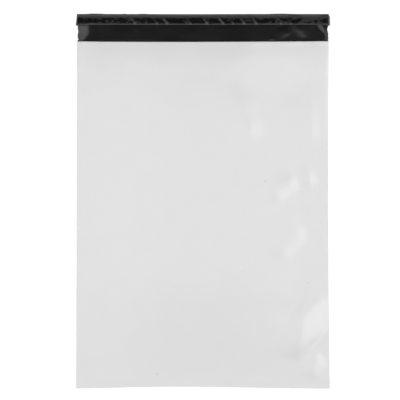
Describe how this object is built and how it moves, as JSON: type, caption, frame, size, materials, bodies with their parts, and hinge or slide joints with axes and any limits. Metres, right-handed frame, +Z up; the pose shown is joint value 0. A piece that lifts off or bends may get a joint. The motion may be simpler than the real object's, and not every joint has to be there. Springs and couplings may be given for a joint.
{
  "type": "poly mailer bag",
  "caption": "Flat shipping bag of welded film, white outside and black inside, with an open mouth, a glued flap and a release liner over the glue.",
  "frame": {"origin": "middle of the bag's outline, on the surface that its back panel lies on", "axes": "+X across the bag to the viewer's right, +Y along the bag from the bottom fold to the flap, +Z up out of the front panel"},
  "size_m": [0.4044, 0.594, 0.0144],
  "materials": {
    "film": "satin blown film, opaque white outside and black inside",
    "glue": "clear hot-melt glue on black film, wet-looking",
    "liner": "thin hazy film with a smooth silicone coat"
  },
  "bodies": {
    "root": {"bag": "film", "glue_strip": "glue", "release_liner": "liner"}
  },
  "joints": []
}
